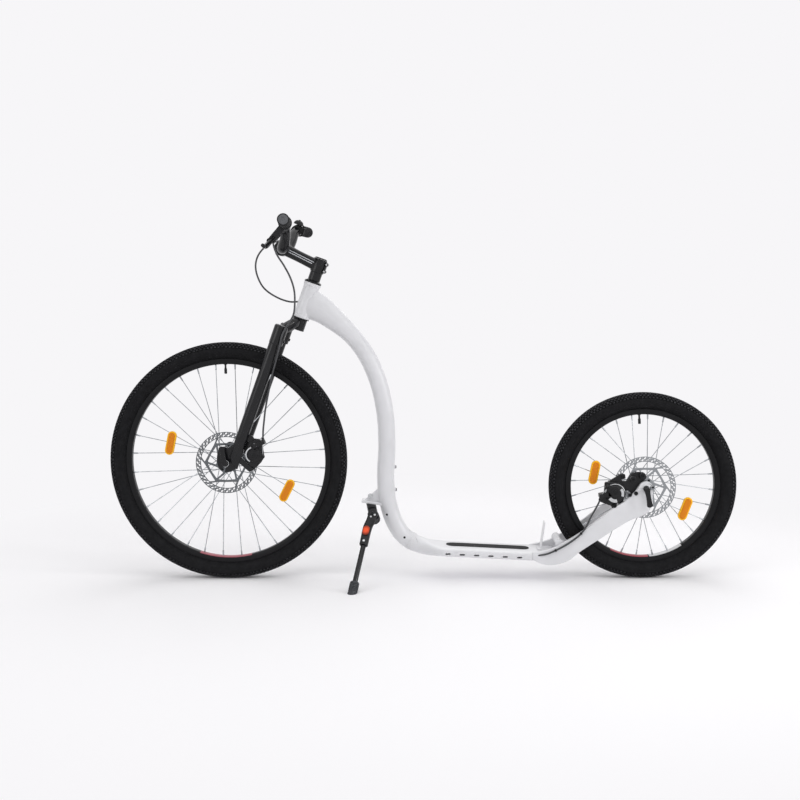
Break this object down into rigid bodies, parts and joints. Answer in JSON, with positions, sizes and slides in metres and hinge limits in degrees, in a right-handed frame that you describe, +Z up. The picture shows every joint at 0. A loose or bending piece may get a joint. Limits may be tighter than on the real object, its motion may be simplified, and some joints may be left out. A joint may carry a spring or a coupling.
{
  "type": "kick bike",
  "caption": "Adult kick scooter: low step-through deck between a large front and smaller rear spoked wheel, riser handlebar, disc brakes, bell and folding side stand.",
  "frame": {"origin": "on the ground, midway between the front of the front tyre and the back of the rear tyre, in the centre plane of the wheels", "axes": "+X backwards to the rear wheel, +Y to the rider's right, +Z up"},
  "size_m": [1.7432, 0.6202, 1.0037],
  "materials": {
    "frame_paint": "satin off-white powder coat",
    "black_alloy": "black anodised, fine satin",
    "black_steel": "black paint",
    "bright_steel": "brushed stainless",
    "tread_rubber": "small-block tread",
    "black_rubber": "matt, ribbed",
    "grey_rubber": "matt",
    "black_plastic": "fine grain",
    "amber_plastic": "prismatic reflector",
    "red_plastic": "moulded"
  },
  "bodies": {
    "frame": {"head_tube": "frame_paint", "upper_headset_cup": "black_alloy", "lower_headset_cup": "black_alloy", "upper_headset_bearing": "bright_steel", "lower_headset_bearing": "bright_steel", "main_tube": "frame_paint", "deck_beam": "frame_paint", "deck_grip_tape": "black_rubber", "right_rear_arm": "frame_paint", "left_rear_arm": "frame_paint", "arm_bridge": "frame_paint", "heel_guard": "frame_paint", "stand_bracket": "frame_paint", "stand_head": "black_alloy", "rear_axle": "black_steel", "rear_brake_caliper": "black_alloy", "rear_brake_cable": "black_plastic"},
    "steering": {"fork_crown": "black_alloy", "left_fork_leg": "black_alloy", "right_fork_leg": "black_alloy", "headset_cover": "black_alloy", "stem_spacer": "black_alloy", "stem": "black_alloy", "stem_face_plate": "black_alloy", "stem_top_cap": "black_plastic", "handlebar": "black_alloy", "right_grip": "black_rubber", "left_grip": "black_rubber", "right_lever_perch": "black_alloy", "left_lever_perch": "black_alloy", "bell": "black_plastic", "front_axle": "black_steel", "front_brake_caliper": "black_alloy", "front_brake_cable": "black_plastic", "rear_cable_loop": "black_plastic"},
    "front_wheel": {"front_tyre": "tread_rubber", "front_rim": "black_alloy", "front_hub_and_spokes": "bright_steel", "front_brake_rotor": "bright_steel", "front_reflector_1": "amber_plastic", "front_reflector_2": "amber_plastic"},
    "rear_wheel": {"rear_tyre": "tread_rubber", "rear_rim": "black_alloy", "rear_hub_and_spokes": "bright_steel", "rear_brake_rotor": "bright_steel", "rear_reflector_1": "amber_plastic", "rear_reflector_2": "amber_plastic"},
    "right_brake_lever": {"right_brake_lever": "black_alloy"},
    "left_brake_lever": {"left_brake_lever": "black_alloy"},
    "front_brake_arm": {"front_brake_arm": "black_alloy"},
    "rear_brake_arm": {"rear_brake_arm": "black_alloy"},
    "bell_striker": {"bell_striker": "black_plastic"},
    "front_release_lever": {"front_release_lever": "black_alloy"},
    "rear_release_lever": {"rear_release_lever": "black_alloy"},
    "stand_leg": {"stand_leg": "black_alloy"},
    "stand_button": {"stand_button": "red_plastic"},
    "stand_lower": {"stand_lower_leg": "black_alloy", "stand_foot": "grey_rubber"}
  },
  "joints": [
    {"name": "steering", "type": "hinge", "parent": "frame", "child": "steering", "pos_m": [-0.4845, 0, 0.31116], "axis": [0.342, 0, 0.9397], "range_deg": [-60, 60], "deforming": ["rear_cable_loop"]},
    {"name": "front_wheel", "type": "hinge", "parent": "steering", "child": "front_wheel", "pos_m": [-0.539, 0, 0.331], "axis": [0, 1, 0], "continuous": true},
    {"name": "rear_wheel", "type": "hinge", "parent": "frame", "child": "rear_wheel", "pos_m": [0.611, 0, 0.259], "axis": [0, 1, 0], "continuous": true},
    {"name": "right_brake_lever", "type": "hinge", "parent": "steering", "child": "right_brake_lever", "pos_m": [-0.38495, 0.152, 0.9404], "axis": [0.7615, 0, -0.6481], "range_deg": [0, 18], "stiffness_Nm_per_rad": 1, "springref_deg": -8.59},
    {"name": "left_brake_lever", "type": "hinge", "parent": "steering", "child": "left_brake_lever", "pos_m": [-0.38495, -0.152, 0.9404], "axis": [-0.7615, 0, 0.6481], "range_deg": [0, 18], "stiffness_Nm_per_rad": 1, "springref_deg": -8.59},
    {"name": "front_brake_arm", "type": "hinge", "parent": "steering", "child": "front_brake_arm", "pos_m": [-0.4635, -0.067, 0.35744], "axis": [0, -1, 0], "range_deg": [0, 15.1]},
    {"name": "rear_brake_arm", "type": "hinge", "parent": "frame", "child": "rear_brake_arm", "pos_m": [0.53136, -0.067, 0.25147], "axis": [0, -1, 0], "range_deg": [0, 15.1]},
    {"name": "bell_striker", "type": "hinge", "parent": "steering", "child": "bell_striker", "pos_m": [-0.33487, 0.122, 0.98016], "axis": [0.342, 0, 0.9397], "range_deg": [0, 35], "stiffness_Nm_per_rad": 0.05, "springref_deg": -5.73},
    {"name": "front_release_lever", "type": "hinge", "parent": "steering", "child": "front_release_lever", "pos_m": [-0.539, -0.0716, 0.331], "axis": [0.9877, 0, 0.1564], "range_deg": [0, 165]},
    {"name": "rear_release_lever", "type": "hinge", "parent": "frame", "child": "rear_release_lever", "pos_m": [0.611, -0.0756, 0.259], "axis": [-0.9848, 0, -0.1736], "range_deg": [0, 165]},
    {"name": "stand_leg", "type": "hinge", "parent": "frame", "child": "stand_leg", "pos_m": [-0.135, -0.042, 0.182], "axis": [-0.1439, -0.7592, 0.6348], "range_deg": [0, 96]},
    {"name": "stand_button", "type": "slide", "parent": "stand_leg", "child": "stand_button", "axis": [0.1439, 0.7592, -0.6348], "range_m": [0, 0.003], "stiffness_N_per_m": 300, "springref_m": -0.002},
    {"name": "stand_lower_leg", "type": "slide", "parent": "stand_leg", "child": "stand_lower", "axis": [-0.208, -0.6039, -0.7694], "range_m": [0, 0.02]}
  ],
  "couplings": [
    {"joint": "front_brake_arm", "follows": "left_brake_lever", "ratio": 0.8333},
    {"joint": "rear_brake_arm", "follows": "right_brake_lever", "ratio": 0.8333}
  ]
}
